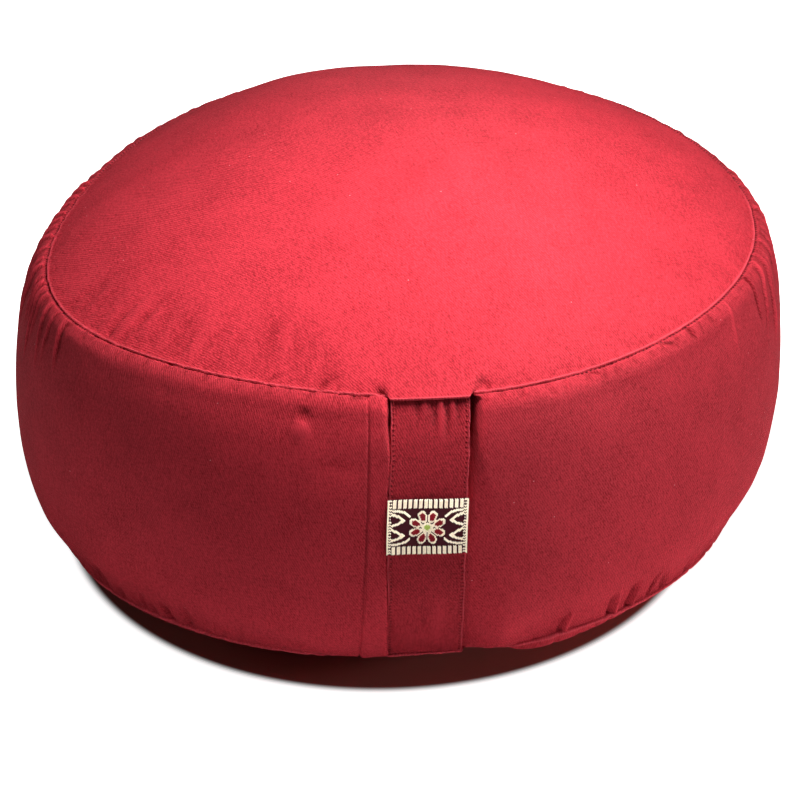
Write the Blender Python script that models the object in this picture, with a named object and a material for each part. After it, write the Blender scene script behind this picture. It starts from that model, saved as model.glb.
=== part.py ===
"""A zafu, the round hull-filled cushion that is sat on to meditate.

One filled cushion (a crowned top panel, a full side band and a bottom panel, drawn in where they are
sewn together), a carry strap sewn into both seams at the front, and a patch of woven ribbon on the strap.

Metres, +Z up. The cushion rests on z = 0 about the origin, and the strap is at the front, towards -Y.
"""

import math
from collections import namedtuple

import bmesh
import bpy
from mathutils import Vector

# ---------------------------------------------------------------- driving dimensions, metres and degrees

WIDEST_RADIUS = 0.180           # the side band at its fullest
TOP_SEAM_RADIUS = 0.1605
TOP_SEAM_HEIGHT = 0.1428
CROWN_RISE = 0.048              # top of the crown above the top seam
CROWN_ROUNDNESS = 2.1           # power of the crown's curve: 2 is a parabola, more is flatter on top
CROWN_SHIFT = Vector((0.003, 0.0, 0.0))   # the filling lies a little to one side
SEAM_ROLL = 0.0005              # how steeply both panels' edges roll over into their seams
SEAM_ROLL_WIDTH = 0.005
BOTTOM_SEAM_RADIUS = 0.1604
BOTTOM_SEAM_HEIGHT = 0.0132
FOOT_RADIUS = 0.112             # the flat of the bottom panel that the cushion rests on
FOOT_CURVE = 1.6                # power of the bottom panel's rise from the foot to its seam
BAND_FULLNESS = 0.39            # power of the side band's bulge: 0.5 is a half ellipse
BAND_FULLEST = 0.58             # how far down the side band is widest

STRAP_TOWARDS = -87.0           # direction of the strap, seen from above
STRAP_WIDTH = 0.0325
STRAP_THICKNESS = 0.0024        # a tube of cloth pressed flat, with its turnings inside
STRAP_BOW = 0.018               # how far the strap bows out from a straight line between the seams
STRAP_LEAN = 0.0025             # its upper end is this far to the right
STRAP_EDGE = 0.0007             # rounding of its long edges
STRAP_ENDS = (0.022, 0.978)     # where it starts and ends, down the side band
STRAP_CLEARANCE = 0.0007        # from the cloth behind it
VALLEY_MARGIN = 0.0015          # the strap holds the band in: width of the flat on either side of it
VALLEY_LEFT = 0.006             # and of the slopes beyond
VALLEY_RIGHT = 0.013

RIBBON_LENGTH = 0.0335          # across the strap
RIBBON_WIDTH = 0.0250           # the ribbon's own width, up the strap
RIBBON_THICKNESS = 0.0009
RIBBON_MIDDLE = 0.405           # how far down the side band
RIBBON_CLEARANCE = 0.0004
RIBBON_RIPPLE = 0.0002          # its stitches pucker it this much
RIBBON_RIPPLES = 1.25           # puckers across it
RIBBON_RIPPLE_START = 0.1       # of its length, to the left of its left end

# The cushion isn't quite round. A wave has a number of high places round the rim, the height of each
# in metres, and the direction of one of them in degrees.
Wave = namedtuple("Wave", "count height towards")
TOP_SEAM_WAVES = (Wave(1, 0.0029, -13), Wave(2, 0.0023, 37), Wave(3, 0.0016, -28), Wave(4, 0.0017, 22))
TOP_SEAM_DIPS = (Wave(1, 0.0023, 20), Wave(2, 0.0035, -87), Wave(3, 0.0008, -4), Wave(4, 0.0015, -40))
WIDEST_WAVES = (Wave(2, 0.0019, 52),)
BOTTOM_SEAM_WAVES = (Wave(1, 0.0014, 5), Wave(2, 0.0007, -18), Wave(4, 0.0008, 24))
BOTTOM_SEAM_DIPS = (Wave(1, 0.0066, -12), Wave(2, 0.0012, -84), Wave(3, 0.0012, 8))

# ---------------------------------------------------------------- facets

COLUMNS = 112                   # round the cushion
COLUMN_CROWDING = 0.70          # 0 spaces the columns evenly, near 1 crowds them at the strap
PANEL_ROWS = (0.13, 0.27, 0.41, 0.54, 0.66, 0.76, 0.85, 0.92, 0.965)   # centre 0, seam 1
BAND_ROWS = 18
FOOT_ROWS = (0.96, 0.88, 0.79)
STRAP_ROWS = 26
RIBBON_ROWS = 10
RIBBON_COLUMNS = 12
WALK_STEP = 0.0005              # of the side band's height, when a length is measured down the strap

OUTWARD = Vector((math.cos(math.radians(STRAP_TOWARDS)), math.sin(math.radians(STRAP_TOWARDS)), 0.0))
ALONG = Vector((-OUTWARD.y, OUTWARD.x, 0.0))    # to the right, for someone who looks at the strap


def smooth_step(value):
    """0 below 0, 1 above 1, and an even slope between."""
    value = min(1.0, max(0.0, value))
    return value * value * (3.0 - 2.0 * value)


def stray(waves, direction):
    """How far a rim strays from its plain radius or height, at a direction in radians."""
    return sum(w.height * math.cos(w.count * (direction - math.radians(w.towards))) for w in waves)


# ---------------------------------------------------------------- the cushion's surface


def top_seam(direction):
    """Radius and height of the seam between the top panel and the side band."""
    return (TOP_SEAM_RADIUS + stray(TOP_SEAM_WAVES, direction),
            TOP_SEAM_HEIGHT + stray(TOP_SEAM_DIPS, direction))


def bottom_seam(direction):
    """Radius and height of the seam between the side band and the bottom panel."""
    return (BOTTOM_SEAM_RADIUS + stray(BOTTOM_SEAM_WAVES, direction),
            BOTTOM_SEAM_HEIGHT + stray(BOTTOM_SEAM_DIPS, direction))


def strap_line(drop):
    """Distance out and height of the strap's inner face, from 0 at the top seam to 1 at the bottom one."""
    top_radius, top_height = top_seam(math.radians(STRAP_TOWARDS))
    low_radius, low_height = bottom_seam(math.radians(STRAP_TOWARDS))
    out = top_radius + (low_radius - top_radius) * drop + STRAP_BOW * math.sin(math.pi * drop)
    return out, top_height + (low_height - top_height) * drop


def strap_middle(drop):
    """How far the strap's middle line lies to the right, for it leans a little."""
    return STRAP_LEAN * (1.0 - smooth_step(2.0 * drop))


def held_in(point, drop):
    """The side band's cloth where the strap holds it in, in a flat-floored valley."""
    across = point.dot(ALONG) - strap_middle(drop)
    slope_width = VALLEY_RIGHT if across > 0 else VALLEY_LEFT
    hold = 1.0 - smooth_step((abs(across) - STRAP_WIDTH / 2 - VALLEY_MARGIN) / slope_width)
    if point.dot(OUTWARD) < 0 or hold == 0.0:
        return point
    floor = strap_line(drop)[0] - STRAP_CLEARANCE
    return point + OUTWARD * (floor - point.dot(OUTWARD)) * hold


def band_point(direction, drop):
    """A point of the side band, from 0 at the top seam to 1 at the bottom one."""
    top_radius, top_height = top_seam(direction)
    low_radius, low_height = bottom_seam(direction)
    widest = WIDEST_RADIUS + stray(WIDEST_WAVES, direction)
    bulge = widest - (top_radius + (low_radius - top_radius) * BAND_FULLEST)
    along = drop ** (math.log(0.5) / math.log(BAND_FULLEST))
    radius = top_radius + (low_radius - top_radius) * drop
    radius += bulge * (4.0 * along * (1.0 - along)) ** BAND_FULLNESS
    height = top_height + (low_height - top_height) * drop
    return held_in(Vector((radius * math.cos(direction), radius * math.sin(direction), height)), drop)


def panel_point(direction, reach):
    """A point of the top panel, from 0 at its middle to 1 at its seam."""
    rim = band_point(direction, 0.0)
    inwards = 1.0 - reach * reach
    roll = 1.0 - math.exp(-(1.0 - reach) * TOP_SEAM_RADIUS / SEAM_ROLL_WIDTH)
    point = rim * reach + CROWN_SHIFT * inwards
    point.z = (rim.z * reach * reach + TOP_SEAM_HEIGHT * inwards + SEAM_ROLL * roll
               + (CROWN_RISE - SEAM_ROLL) * (1.0 - reach ** CROWN_ROUNDNESS))
    return point


def foot_point(direction, reach):
    """A point of the bottom panel, from the flat that it rests on to 1 at its seam."""
    rim = band_point(direction, 1.0)
    point = rim * reach
    flat = FOOT_RADIUS / BOTTOM_SEAM_RADIUS
    point.z = rim.z * max(0.0, (reach - flat) / (1.0 - flat)) ** FOOT_CURVE
    return point


# ---------------------------------------------------------------- building


def clear_scene():
    for item in list(bpy.data.objects):
        bpy.data.objects.remove(item, do_unlink=True)


def cloth(name, colour, roughness):
    material = bpy.data.materials.new(name)
    material.use_nodes = True
    shader = material.node_tree.nodes["Principled BSDF"]
    shader.inputs["Base Color"].default_value = (*colour, 1.0)
    shader.inputs["Roughness"].default_value = roughness
    shader.inputs["Metallic"].default_value = 0.0
    return material


def add_object(name, bm, material):
    bmesh.ops.recalc_face_normals(bm, faces=bm.faces)
    mesh = bpy.data.meshes.new(name)
    bm.to_mesh(mesh)
    bm.free()
    mesh.materials.append(material)
    mesh.shade_smooth()
    item = bpy.data.objects.new(name, mesh)
    bpy.context.scene.collection.objects.link(item)
    return item


def add_rings(bm, rings):
    """Closed rings of points, joined one to the next by a strip of faces."""
    loops = [[bm.verts.new(point) for point in ring] for ring in rings]
    for upper, lower in zip(loops, loops[1:]):
        for i in range(len(upper)):
            j = (i + 1) % len(upper)
            bm.faces.new((upper[i], upper[j], lower[j], lower[i]))
    return loops


def column_directions():
    """Directions round the cushion, in radians, crowded together at the strap."""
    turns = [2.0 * math.pi * i / COLUMNS for i in range(COLUMNS)]
    return [math.radians(STRAP_TOWARDS) + turn - COLUMN_CROWDING * math.sin(turn) for turn in turns]


def make_cushion(material):
    """One closed skin: top panel, side band and bottom panel, flat where it rests."""
    directions = column_directions()
    flat = FOOT_RADIUS / BOTTOM_SEAM_RADIUS
    rings = [[panel_point(d, reach) for d in directions] for reach in PANEL_ROWS]
    for i in range(BAND_ROWS + 1):
        drop = 0.5 - 0.5 * math.cos(math.pi * i / BAND_ROWS)
        rings.append([band_point(d, drop) for d in directions])
    rings += [[foot_point(d, reach) for d in directions] for reach in (*FOOT_ROWS, flat)]
    bm = bmesh.new()
    loops = add_rings(bm, rings)
    crown = bm.verts.new(panel_point(0.0, 0.0))
    for i, vertex in enumerate(loops[0]):
        bm.faces.new((crown, loops[0][(i + 1) % COLUMNS], vertex))
    bm.faces.new(loops[-1])
    return add_object("cushion", bm, material)


def strap_section(drop):
    """The strap's outline at one height: a flat strip with rounded long edges."""
    out, height = strap_line(drop)
    middle = strap_middle(drop)
    side, bevelled_side = STRAP_WIDTH / 2, STRAP_WIDTH / 2 - STRAP_EDGE
    inner, outer = 0.0, STRAP_THICKNESS
    corners = ((-side, inner + STRAP_EDGE), (-bevelled_side, inner), (bevelled_side, inner),
               (side, inner + STRAP_EDGE), (side, outer - STRAP_EDGE), (bevelled_side, outer),
               (-bevelled_side, outer), (-side, outer - STRAP_EDGE))
    return [ALONG * (middle + across) + OUTWARD * (out + depth) + Vector((0.0, 0.0, height))
            for across, depth in corners]


def make_strap(material):
    first, last = STRAP_ENDS
    drops = [first + (last - first) * i / STRAP_ROWS for i in range(STRAP_ROWS + 1)]
    bm = bmesh.new()
    loops = add_rings(bm, [strap_section(drop) for drop in drops])
    bm.faces.new(loops[0])
    bm.faces.new(reversed(loops[-1]))
    return add_object("carry_strap", bm, material)


def drop_after(start, length):
    """Walks the strap's line from one height, down or up by a length, and gives the height reached."""
    drop, step = start, math.copysign(WALK_STEP, length)
    left = abs(length)
    while left > 0.0:
        here, there = strap_line(drop), strap_line(drop + step)
        left -= math.hypot(there[0] - here[0], there[1] - here[1])
        drop += step
    return drop


def make_ribbon_patch(material):
    """A strip of ribbon across the strap, sewn down and slightly rippled by its stitches."""
    first, last = (drop_after(RIBBON_MIDDLE, s * RIBBON_WIDTH / 2) for s in (-1.0, 1.0))
    inner = STRAP_THICKNESS + RIBBON_CLEARANCE
    rings = []
    for i in range(RIBBON_ROWS + 1):
        drop = first + (last - first) * i / RIBBON_ROWS
        out, height = strap_line(drop)
        ring = []
        for depth, columns in ((inner, range(RIBBON_COLUMNS + 1)),
                               (inner + RIBBON_THICKNESS, range(RIBBON_COLUMNS, -1, -1))):
            for j in columns:
                across = RIBBON_LENGTH * (j / RIBBON_COLUMNS - 0.5)
                turns = RIBBON_RIPPLES * (j / RIBBON_COLUMNS + RIBBON_RIPPLE_START)
                ripple = RIBBON_RIPPLE * (1.0 + math.cos(2.0 * math.pi * turns))
                ring.append(ALONG * (strap_middle(drop) + across)
                            + OUTWARD * (out + depth + ripple) + Vector((0.0, 0.0, height)))
        rings.append(ring)
    bm = bmesh.new()
    loops = add_rings(bm, rings)
    for loop in (loops[0], loops[-1]):
        for j in range(RIBBON_COLUMNS):
            bm.faces.new((loop[j], loop[j + 1], loop[-j - 2], loop[-j - 1]))
    return add_object("ribbon_patch", bm, material)


def main():
    clear_scene()
    red_twill = cloth("red_twill", (0.50, 0.035, 0.055), 0.85)
    strap_twill = cloth("strap_twill", (0.46, 0.030, 0.048), 0.85)
    woven_ribbon = cloth("woven_ribbon", (0.33, 0.20, 0.16), 0.70)
    make_cushion(red_twill)
    make_strap(strap_twill)
    make_ribbon_patch(woven_ribbon)


main()
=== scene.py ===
"""The looks of a zafu: a filled round cushion of red cotton twill, its carry strap and its ribbon patch.

The cover is worked out from the same sizes as the solid model, on a much finer net of points, so that its
seams, gathers and soft troughs are real shape. Lengths are in metres, or in millimetres times MM, and
directions round the cushion are in degrees seen from above.
"""

import math
from collections import namedtuple

import bpy
import numpy as np
from mathutils import Matrix, Vector


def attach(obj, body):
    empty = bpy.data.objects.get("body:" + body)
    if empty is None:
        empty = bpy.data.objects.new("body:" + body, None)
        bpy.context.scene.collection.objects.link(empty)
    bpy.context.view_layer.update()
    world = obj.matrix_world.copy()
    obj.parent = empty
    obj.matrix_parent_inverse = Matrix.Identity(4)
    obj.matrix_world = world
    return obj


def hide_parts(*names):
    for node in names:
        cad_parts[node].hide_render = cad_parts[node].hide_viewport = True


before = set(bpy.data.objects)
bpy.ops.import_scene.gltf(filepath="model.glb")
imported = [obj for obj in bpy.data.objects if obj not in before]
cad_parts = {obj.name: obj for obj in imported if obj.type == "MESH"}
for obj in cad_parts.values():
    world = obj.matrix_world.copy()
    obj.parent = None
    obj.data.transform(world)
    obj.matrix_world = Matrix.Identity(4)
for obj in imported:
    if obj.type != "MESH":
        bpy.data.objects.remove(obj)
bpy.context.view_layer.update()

MM = 0.001

# -------- sizes shared with the solid model

WIDEST_RADIUS = 0.180           # the side band at its fullest
TOP_SEAM_RADIUS = 0.1605
TOP_SEAM_HEIGHT = 0.1428
CROWN_RISE = 0.048
CROWN_ROUNDNESS = 2.1
CROWN_SHIFT = np.array((0.003, 0.0, 0.0))
SEAM_ROLL = 0.0005
SEAM_ROLL_WIDTH = 0.005
BOTTOM_SEAM_RADIUS = 0.1604
BOTTOM_SEAM_HEIGHT = 0.0132
FOOT_RADIUS = 0.112
FOOT_CURVE = 1.6
BAND_FULLNESS = 0.39
BAND_FULLEST = 0.58

STRAP_TOWARDS = -87.0
STRAP_WIDTH = 0.0325
STRAP_THICKNESS = 0.0024
STRAP_BOW = 0.018
STRAP_LEAN = 0.0025
STRAP_CLEARANCE = 0.0007

RIBBON_LENGTH = 0.0335          # across the strap
RIBBON_WIDTH = 0.0250

# a rim strays from round by waves: how many high places, the height of each, the direction of one
Wave = namedtuple("Wave", "count height towards")
TOP_SEAM_WAVES = (Wave(1, 0.0029, -13), Wave(2, 0.0023, 37), Wave(3, 0.0016, -28), Wave(4, 0.0017, 22))
TOP_SEAM_DIPS = (Wave(1, 0.0023, 20), Wave(2, 0.0035, -87), Wave(3, 0.0008, -4), Wave(4, 0.0015, -40))
WIDEST_WAVES = (Wave(2, 0.0019, 52),)
BOTTOM_SEAM_WAVES = (Wave(1, 0.0014, 5), Wave(2, 0.0007, -18), Wave(4, 0.0008, 24))
BOTTOM_SEAM_DIPS = (Wave(1, 0.0066, -12), Wave(2, 0.0012, -84), Wave(3, 0.0012, 8))

# -------- sizes of the finish

COLUMNS = 1920                  # points round the cover, crowded towards the strap
COLUMN_CROWDING = (0.20, 0.05)
# rows of points away from a seam: the first step, its growth, the coarsest step and how far they go
Rows = namedtuple("Rows", "first growth coarsest length")
PANEL_ROWS = Rows(0.30 * MM, 1.16, 4.6 * MM, 0.156)
FOOT_ROWS = Rows(0.40 * MM, 1.25, 8.0 * MM, 0.150)
BAND_ROWS = Rows(0.30 * MM, 1.13, 3.6 * MM, None)
COARSER_BEYOND = (12 * MM, 36 * MM, 72 * MM, 115 * MM)   # a panel keeps half the columns past each

# beside the strap the band's cloth stays down for a little and then rises over a valley, whose width
# changes over a part of the band's height
Valley = namedtuple("Valley", "flat top_width low_width change_at change_over")
LEFT_VALLEY = Valley(0.02 * MM, 3.2 * MM, 0.5 * MM, 0.02, 0.14)
RIGHT_VALLEY = Valley(1.1 * MM, 2.2 * MM, 17.0 * MM, 0.10, 0.35)
LEFT_LAID = 0.34                # lower down on the left the band also lies flat up to the strap's edge
LEFT_LAID_REACH = 26.0 * MM
# and close to its ends it is tucked in deep: on which side, millimetres, and how far down the band
Slot = namedtuple("Slot", "side depth width end")
SLOTS = (Slot(1.0, 11.0, 2.2, 0.48), Slot(-1.0, 4.0, 1.3, 0.18))
STRAP_SHOULDER = 3.3 * MM       # the strap's layers push the panels' edges out by this much
SHOULDER_REACH = 9.0 * MM
HEM_TOP = -22.8 * MM            # the band's overlap hem, left of the strap's middle line
HEM_LOW = -29.1 * MM
HEM_LIFT = 0.50 * MM
HEM_LINE_DEPTH = 0.95 * MM

# an extra amount that is strongest towards one direction and fades over a turn on both sides of it
Swell = namedtuple("Swell", "amount towards turn")
BOTTOM_SEAM_RISES = (Swell(14.0 * MM, -130, 30), Swell(10.0 * MM, -62, 38))
RISE_REACH = 28 * MM            # up and down the cloth from the seam
RISE_CLEAR = 35 * MM            # from the strap's edge to where the seam rises in full
REAR_SAGS = (Swell(1.7 * MM, 42, 34), Swell(1.2 * MM, 135, 26))
SAG_REACH = 45 * MM
LOW_TUCK = 3.4 * MM
LOW_TUCK_EASES = (Swell(-1.2 * MM, -125, 40),)
FOOT_BULGE = 1.0 * MM
FOOT_BULGES = (Swell(2.5 * MM, -70, 11),)
NOISE_WAVES = 30                # plain waves in one patch of unevenness
# the filling's lumps under the cloth, in millimetres
Lumps = namedtuple("Lumps", "height size seed")
FILLING = (Lumps(0.55, 46, 81), Lumps(0.26, 20, 82), Lumps(0.07, 8, 83))

LIP_FRONT = -95.0               # the panel's rolled edge shows round this direction
REAR_FROM, REAR_OVER = 98.0, 18.0       # so many degrees round from it, it leans on to the band instead
EVEN_FROM, EVEN_OVER = 25.0, 30.0       # and past these the groove beside it is more even
LIP_REACH = 1.30 * MM
LIP_CREST = 0.55 * MM
LIP_HEIGHT, REAR_LIP_HEIGHT = 0.80 * MM, 0.60 * MM
# the rest of the seam in section: the height of a part, where on the band's side it is, and its width
Part = namedtuple("Part", "height place width")
GROOVE = Part(0.95 * MM, 0.42 * MM, 0.38 * MM)
REAR_GROOVE = Part(0.35 * MM, -0.35 * MM, 0.40 * MM)
ALLOWANCE = Part(0.95 * MM, 0.7 * MM, 0.9 * MM)
ALLOWANCE_END, ALLOWANCE_FADE = 6.0 * MM, 7.5 * MM
FOLDED_SEAM = -187.0            # here the gathers' folds cross the top seam
FOLD_PITCH = 15.0               # millimetres from one fold to the next, each with a long rise
FOLD_RISE = 0.72
STITCH_PITCH = 2.1 * MM
STITCH_LENGTH = 1.6 * MM
THREAD_THICKNESS = 0.34 * MM
THREAD_SUNK = 0.20 * MM         # how deep the middle of a stitch lies, in the seams and in the strap
EDGE_THREAD_SUNK = 0.19 * MM
EDGE_STITCH_INSET = 1.3 * MM    # strap's edge stitching from its long edges
PANEL_TURN = math.radians(16.0)  # the top panel was cut from the cloth at this turn

# a stretch of seam with a row of like creases at uneven distances: from one direction to another, and in
# millimetres the pitch, the mean height, the length, how far clear of the seam they start and their widths
Gathers = namedtuple("Gathers", "seam side seed start end pitch depth length clear widths slants")
PINCHED = (
    Gathers("top", "band", 11, -218, -204, 9.0, 0.50, 40, 0.0, (1.7, 2.6), (-7, 7)),
    Gathers("top", "band", 12, -204, -148, 8.2, 1.25, 48, 0.0, (1.7, 2.6), (-7, 7)),
    Gathers("top", "band", 13, -19, 21, 7.6, 1.05, 52, 0.0, (1.7, 2.6), (-23, -9)),
    Gathers("top", "band", 14, 21, 142, 12.0, 0.38, 36, 0.0, (1.7, 2.6), (-7, 7)),
)
HOLLOWS = (
    Gathers("bottom", "band", 31, -210, -120, 13.0, -1.10, 20, 0.0, (1.6, 2.6), (-14, 14)),
    Gathers("bottom", "band", 32, -48, 30, 13.0, -0.90, 18, 0.0, (1.6, 2.6), (-14, 14)),
    Gathers("bottom", "band", 33, 30, 150, 14.0, -0.80, 24, 0.0, (1.6, 2.6), (-14, 14)),
    Gathers("top", "panel", 41, -156, -99, 7.5, -0.85, 38, 1.0, (1.6, 3.2), (-30, 4)),
    # small puckers where the seams' stitches pull, all the way round
    *(Gathers(seam, side, seed, -267, 93, 8.0, -0.45, 8, 0.0, (1.0, 2.0), (-25, 25)) for seam, side, seed in (
        ("top", "panel", 51), ("top", "band", 52), ("bottom", "panel", 53), ("bottom", "band", 54))),
)

# one crease in the cloth, in millimetres from a seam: slant 0 runs square to the seam, and a positive
# slant leans anticlockwise seen from above on the panels, and to the right on the side band
Crease = namedtuple("Crease", "seam side towards start length slant width depth")
CREASE_REACH = math.radians(24.0)       # none goes further round than this
# for each seam and side, rows of: towards, start, length, slant, width, depth
CREASES = {
    ("top", "panel"): (
        (-111.0, 0.6, 8, 35, 1.0, -0.9),
        (-102.8, 0.6, 12, 30, 1.9, -1.0),
        (-93.6, 0.2, 11, 33, 2.0, -1.5),
        (-80.2, 1.2, 7, -15, 1.9, -1.5),
        (-77.0, 1.0, 9, -30, 1.8, -1.0),
        (-141.0, 2.0, 28, -16, 3.4, -0.6),
        (-127.0, 4.0, 34, -12, 3.6, -0.45),
    ),
    ("top", "band"): (
        (-97.4, 1.8, 9, 78, 0.8, -0.8),
        (-101.5, 31.0, 21, 88, 0.9, -0.6),
        (-104.0, 8.5, 6, -20, 2.6, -0.7),
        (-103.6, 15.0, 8, -35, 3.4, 1.1),
        (-62.0, 1.4, 7, 74, 0.8, -0.8),
        (-48.0, 1.6, 9, 70, 0.9, -1.0),
        (-42.0, 0.8, 8, 10, 1.2, -1.2),
        (-31.5, 2.0, 28, -6, 1.0, 1.1),
        (-22.0, 1.2, 26, -4, 1.1, -2.0),
    ),
    ("bottom", "band"): (
        (-143.0, 0.3, 17, 6, 1.6, -1.3),
        (-132.0, 0.3, 16, 4, 1.4, -1.1),
        (-127.0, 0.3, 13, 4, 1.4, -1.0),
        (-67.0, 0.3, 14, 4, 1.3, -1.2),
        (-58.5, 0.3, 14, 8, 1.3, -1.1),
        (-55.2, 0.3, 19, 14, 1.2, -1.2),
        (-66.0, 0.3, 17, 6, 1.1, 1.2),
        (-57.4, 0.3, 17, 9, 1.1, 1.2),
        (-54.1, 0.3, 21, 14, 1.0, 1.2),
        (-50.8, 0.3, 19, 14, 1.3, -1.1),
    ),
}

STRAP_DRIFT = 0.8 * MM          # lower down it lies this much further left than in the solid model
STRAP_ENDS = (0.0035, 0.9965)   # how far down the side band the finished strap starts and ends
STRAP_ROWS = 216
STRAP_COLUMNS = 56
# the strap's long edge: millimetres in from it, out from the inner face, and how strong its painted highlight
# is
Edge = namedtuple("Edge", "inset depth rubbed")
STRAP_EDGE = (Edge(0.5, 0.0, 0.0), Edge(0.1, 0.35, 0.3), Edge(0.0, 0.95, 0.7), Edge(0.0, 1.5, 0.8),
              Edge(0.06, 2.0, 0.8))
FACE_RIM_HIGHLIGHT = 0.7
# soft upright folds under the strap's top seam, in millimetres from its middle and down from the seam
StrapFold = namedtuple("StrapFold", "across start length lean width depth")
STRAP_FOLDS = tuple(StrapFold(*sizes) for sizes in (
    (1.6, 0.0, 17, 0.6, 1.2, -1.1),
    (4.0, 0.0, 22, 0.9, 1.4, 1.0),
    (6.5, 0.0, 18, 1.0, 1.1, -1.1),
    (8.9, 0.0, 14, 0.6, 1.2, 0.6),
    (11.2, 0.0, 13, 0.5, 1.1, -0.6),
    (-2.4, 0.0, 10, -0.6, 1.3, 0.40),
    (-4.8, 0.0, 13, -0.6, 1.2, -0.65),
    (-8.4, 0.0, 9, -0.8, 1.3, 0.25),
    (-1.0, 96.0, 22, 0.4, 2.2, -0.35),
    (6.0, 92.0, 26, -0.4, 2.0, 0.30),
))

# the ribbon is finished thinner than its solid, and was sewn on a little higher and askew
RIBBON_MIDDLE = 0.396           # how far down the side band
RIBBON_TILT = 0.022
RIBBON_THICKNESS = 0.55 * MM
RIBBON_GAP = 0.35 * MM          # from the strap's face
RIBBON_RIPPLE = 0.20 * MM       # its stitches pucker it this much
RIBBON_RIPPLES = 1.25           # puckers across it
RIBBON_RIPPLE_START = 0.1       # of its length, to the left of its left end
RIBBON_ROWS = 52
RIBBON_COLUMNS = 68
FLOAT_PITCH = 0.36              # millimetres from one brocade yarn to the next
FLOAT_LENGTH = 0.62             # and the length of each float
FLOAT_HEIGHT = 0.58 * MM

# the brocade's motif, in millimetres from the ribbon's middle
SELVEDGE = 16.0
SIDE_BARS, SIDE_BAR_PITCH = 15.0, 1.3
END_BARS, END_BAR_PITCH = 8.6, 2.16
FLOWER_EYE = 1.2
FLOWER_RING = 2.3
PETAL_MIDDLE = 5.1
PETAL_HALF_LENGTH = 2.85
PETAL_HALF_WIDTH = 1.75
PETAL_HEART = 0.66              # the part of a petal that is ruby
ARROWS = (((14.6, 6.2), (12.2, 5.2), (9.8, 3.3), (12.0, 1.9), (14.6, 1.2)),
          ((14.6, -0.6), (12.2, -2.2), (9.8, -3.6), (12.0, -5.0), (14.6, -5.6)))
BOUGH = ((14.4, 7.7), (11.4, 7.4), (9.2, 6.6), (7.4, 5.2))
ARROW_HALF_WIDTH, BOUGH_HALF_WIDTH = 0.52, 0.48

RED_DARK, RED_LIGHT = (0.17, 0.0064, 0.0098), (0.54, 0.0325, 0.0495)
STRAP_DARK, STRAP_LIGHT = (0.10, 0.0042, 0.0062), (0.43, 0.0235, 0.0360)
LINT = (0.60, 0.17, 0.19)
# painted highlight colour for the rolled edges
EDGE_HIGHLIGHT_RED = (0.80, 0.10, 0.13)
# painted shade colour of the needle holes
NEEDLE_HOLE_SHADE = (0.03, 0.001, 0.002)
THREAD_RED = (0.30, 0.014, 0.022)
PLUM_GROUND = (0.040, 0.004, 0.008)
# the brocade's yarns: name, colour and roughness
BROCADE = (("cream", (1.0, 0.88, 0.69), 0.45), ("ruby", (0.27, 0.006, 0.014), 0.5),
           ("green", (0.50, 0.62, 0.14), 0.5))
YARN_SPACING = 0.29 * MM
TWILL_FLOAT = 2.05 * MM
TWILL_SHIFT = 0.25              # each yarn's floats start this much of a float after its neighbour's

# the stage: pale paper round the cushion's foot, with distances from the middle of its painted shade
SHADE_MIDDLE = (-0.0084, -0.0164, 0.0)
FLOOR_HALF = 8.0
FLOOR_GLOW = 0.43               # the pale floor glows, away from the cushion, and its glow lights the cushion
PAPER_WHITE = 0.97              # and glows whiter still, to the camera only
PAPER_COLOUR = 0.90
# painted shade colour of the paper close round the cushion's foot, with a painted red cast
PAINTED_SHADE_COLOUR = (0.40, 0.12, 0.10)

SoftLight = namedtuple("SoftLight", "name place target width length watts")
SOFT_LIGHTS = (
    SoftLight("overhead_softbox", (-0.025, 0.04, 0.46), (-0.025, 0.0, 0.1), 0.18, 0.46, 1.36),
    SoftLight("front_softbox", (0.07, -0.165, 0.43), (0.07, -0.15, 0.1), 0.14, 0.14, 3.7),
    SoftLight("right_softbox", (2.45, 0.45, 0.13), (0.0, 0.0, 0.1), 0.5, 0.5, 76.0),
    SoftLight("left_softbox", (-1.4, 0.5, 0.13), (0.0, 0.0, 0.1), 0.4, 0.4, 6.0),
)
SKY_STRENGTH = 0.02

CAMERA_LENS = 120.15
CAMERA_PLACE = (-0.01216, -1.09163, 0.70901)
CAMERA_LOOK = (0.00990605, 0.85460283, -0.51918771)
CAMERA_UP = (0.01786834, 0.518979, 0.85460021)

strap_direction = math.radians(STRAP_TOWARDS)
OUTWARD = np.array((math.cos(strap_direction), math.sin(strap_direction), 0.0))
ALONG = np.array((-OUTWARD[1], OUTWARD[0], 0.0))    # to the right, for someone who looks at the strap
UP = np.array((0.0, 0.0, 1.0))


# -------- shape helpers


def ramp(value, start, width):
    """A smooth rise from 0 at the start to 1 a width further on."""
    part = np.clip((value - start) / width, 0.0, 1.0)
    return part * part * (3.0 - 2.0 * part)


def hump(value, width):
    """1 at 0, falling off like a bell."""
    return np.exp(-(value / width) ** 2)


def stray(waves, direction):
    return sum(w.height * np.cos(w.count * (direction - math.radians(w.towards))) for w in waves)


def turn_from(direction, towards):
    """Angle in radians from one direction to others, within half a turn."""
    return (direction - math.radians(towards) + math.pi) % (2.0 * math.pi) - math.pi


def swelling(swells, direction):
    return sum(s.amount * hump(turn_from(direction, s.towards), math.radians(s.turn)) for s in swells)


def graded(rows):
    """Distances from 0 up to a length, in steps that grow from the first to the coarsest."""
    distances = [0.0]
    step = rows.first
    while distances[-1] + step < rows.length:
        distances.append(distances[-1] + step)
        step = min(rows.coarsest, step * rows.growth)
    return np.array(distances)


def rolling_noise(points, size, seed):
    """Smooth unevenness of about -1 to 1, whose lumps are about as big as size."""
    chance = np.random.default_rng(seed)
    total = np.zeros(points.shape[:-1])
    for _ in range(NOISE_WAVES):
        heading = chance.normal(size=3)
        heading *= 2.0 * math.pi / (size * chance.uniform(1.4, 2.8)) / np.linalg.norm(heading)
        total += np.cos(points @ heading + chance.uniform(0.0, 2.0 * math.pi))
    return total * math.sqrt(2.0 / NOISE_WAVES) * 0.6


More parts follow.
